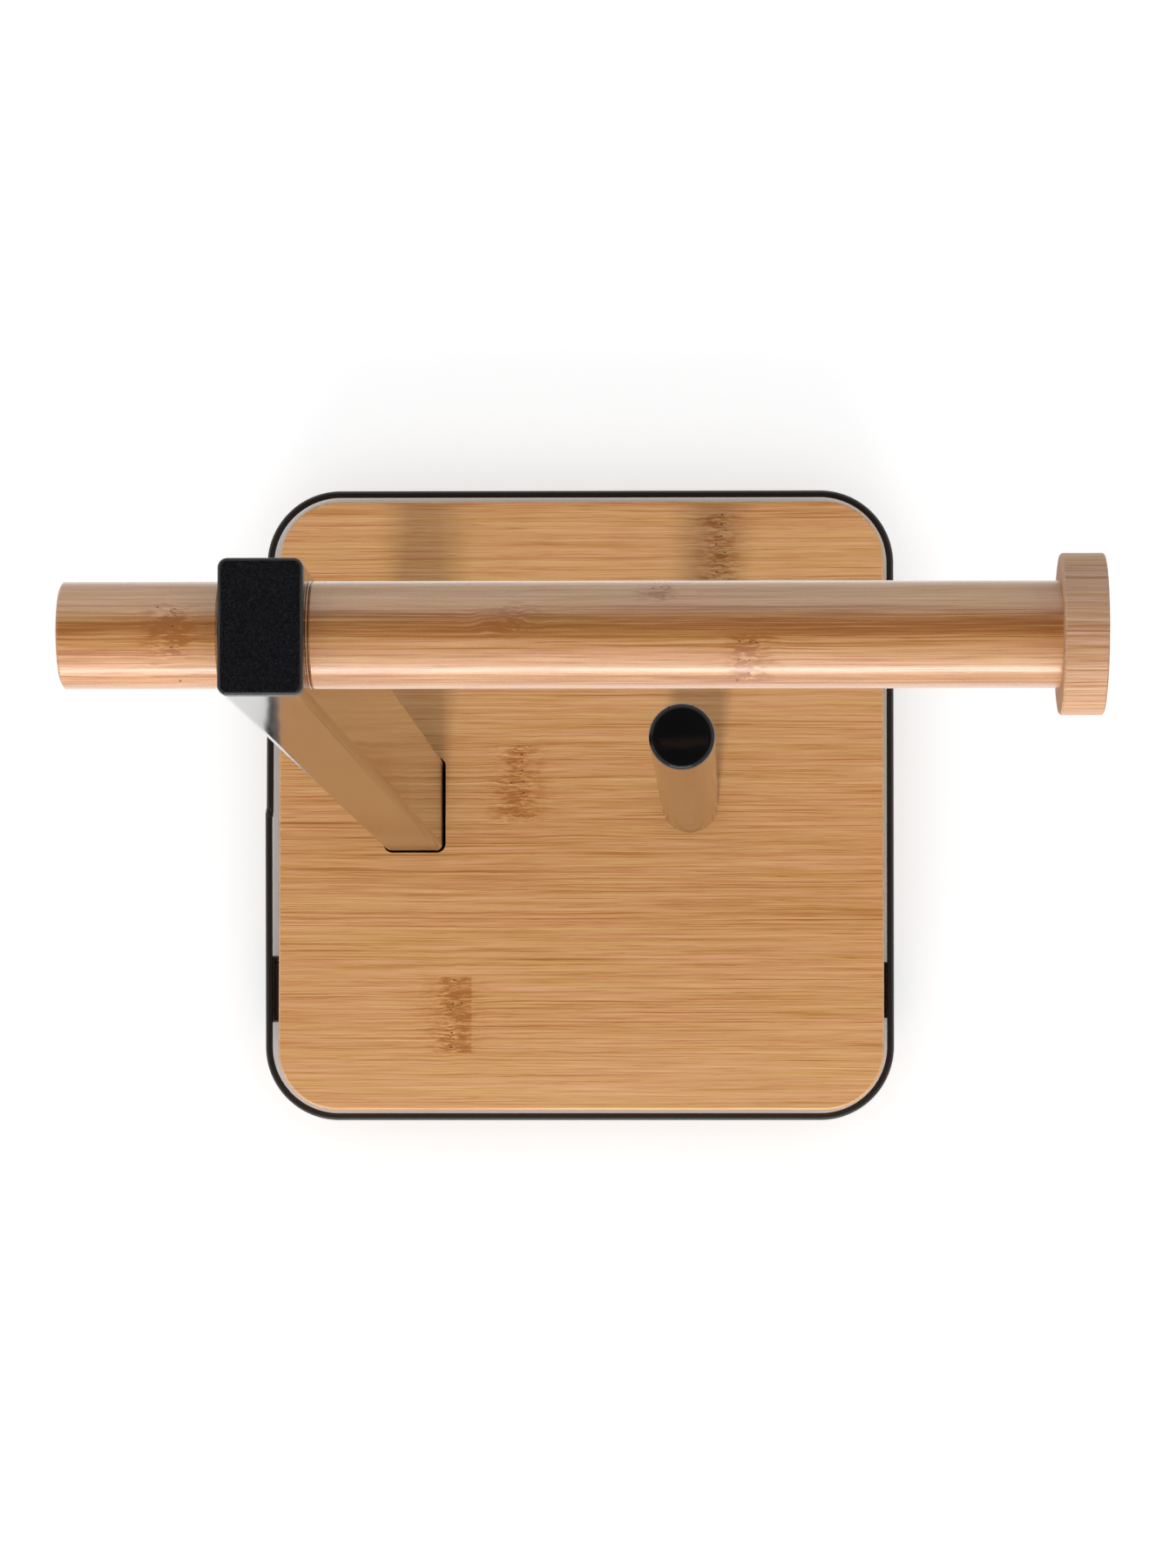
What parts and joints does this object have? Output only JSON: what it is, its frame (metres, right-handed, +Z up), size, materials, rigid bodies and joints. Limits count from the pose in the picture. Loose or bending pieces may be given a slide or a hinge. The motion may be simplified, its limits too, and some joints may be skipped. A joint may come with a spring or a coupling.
{
  "type": "free-standing paper roll stand",
  "caption": "Free-standing roll stand: square bamboo board in a black wire hoop, chromed post with a bamboo roll arm, and a short chromed rod for a spare roll.",
  "frame": {"origin": "on the floor, under the middle of the whole stand (midway between the hoop's left edge and the end disc's outer face); the board's centre is at x -12.4, y -0.8 mm", "axes": "+Z up, +X the way the roll arm points, +Y to the back; the post stands on the -X side"},
  "size_m": [0.2062, 0.181, 0.4187],
  "materials": {
    "bamboo": "satin",
    "bamboo_rod": "satin",
    "beech": "matte",
    "black_coat": "satin",
    "chrome": "polished",
    "zinc": "satin",
    "black_steel": "satin",
    "black_plastic": "matte",
    "black_gloss": "gloss",
    "rubber": "matte"
  },
  "bodies": {
    "root": {"base_board": "bamboo", "wire_hoop": "black_coat", "front_cross_bar": "black_coat", "rear_cross_bar": "black_coat", "mounting_plate": "black_coat", "rubber_feet": "rubber", "board_screws": "zinc", "post_tube": "chrome", "post_foot_nut": "zinc", "post_cap": "black_plastic", "spare_roll_tube": "chrome", "spare_foot_nut": "zinc", "spare_tube_cap": "black_gloss", "post_foot_screw": "zinc", "spare_foot_screw": "zinc", "foot_washers": "zinc", "roll_arm": "bamboo_rod", "arm_stub": "bamboo_rod", "rod_inserts": "black_steel", "through_stud": "zinc", "stud_spacer": "zinc", "end_disc": "bamboo_rod", "disc_dowel": "beech"}
  },
  "joints": []
}
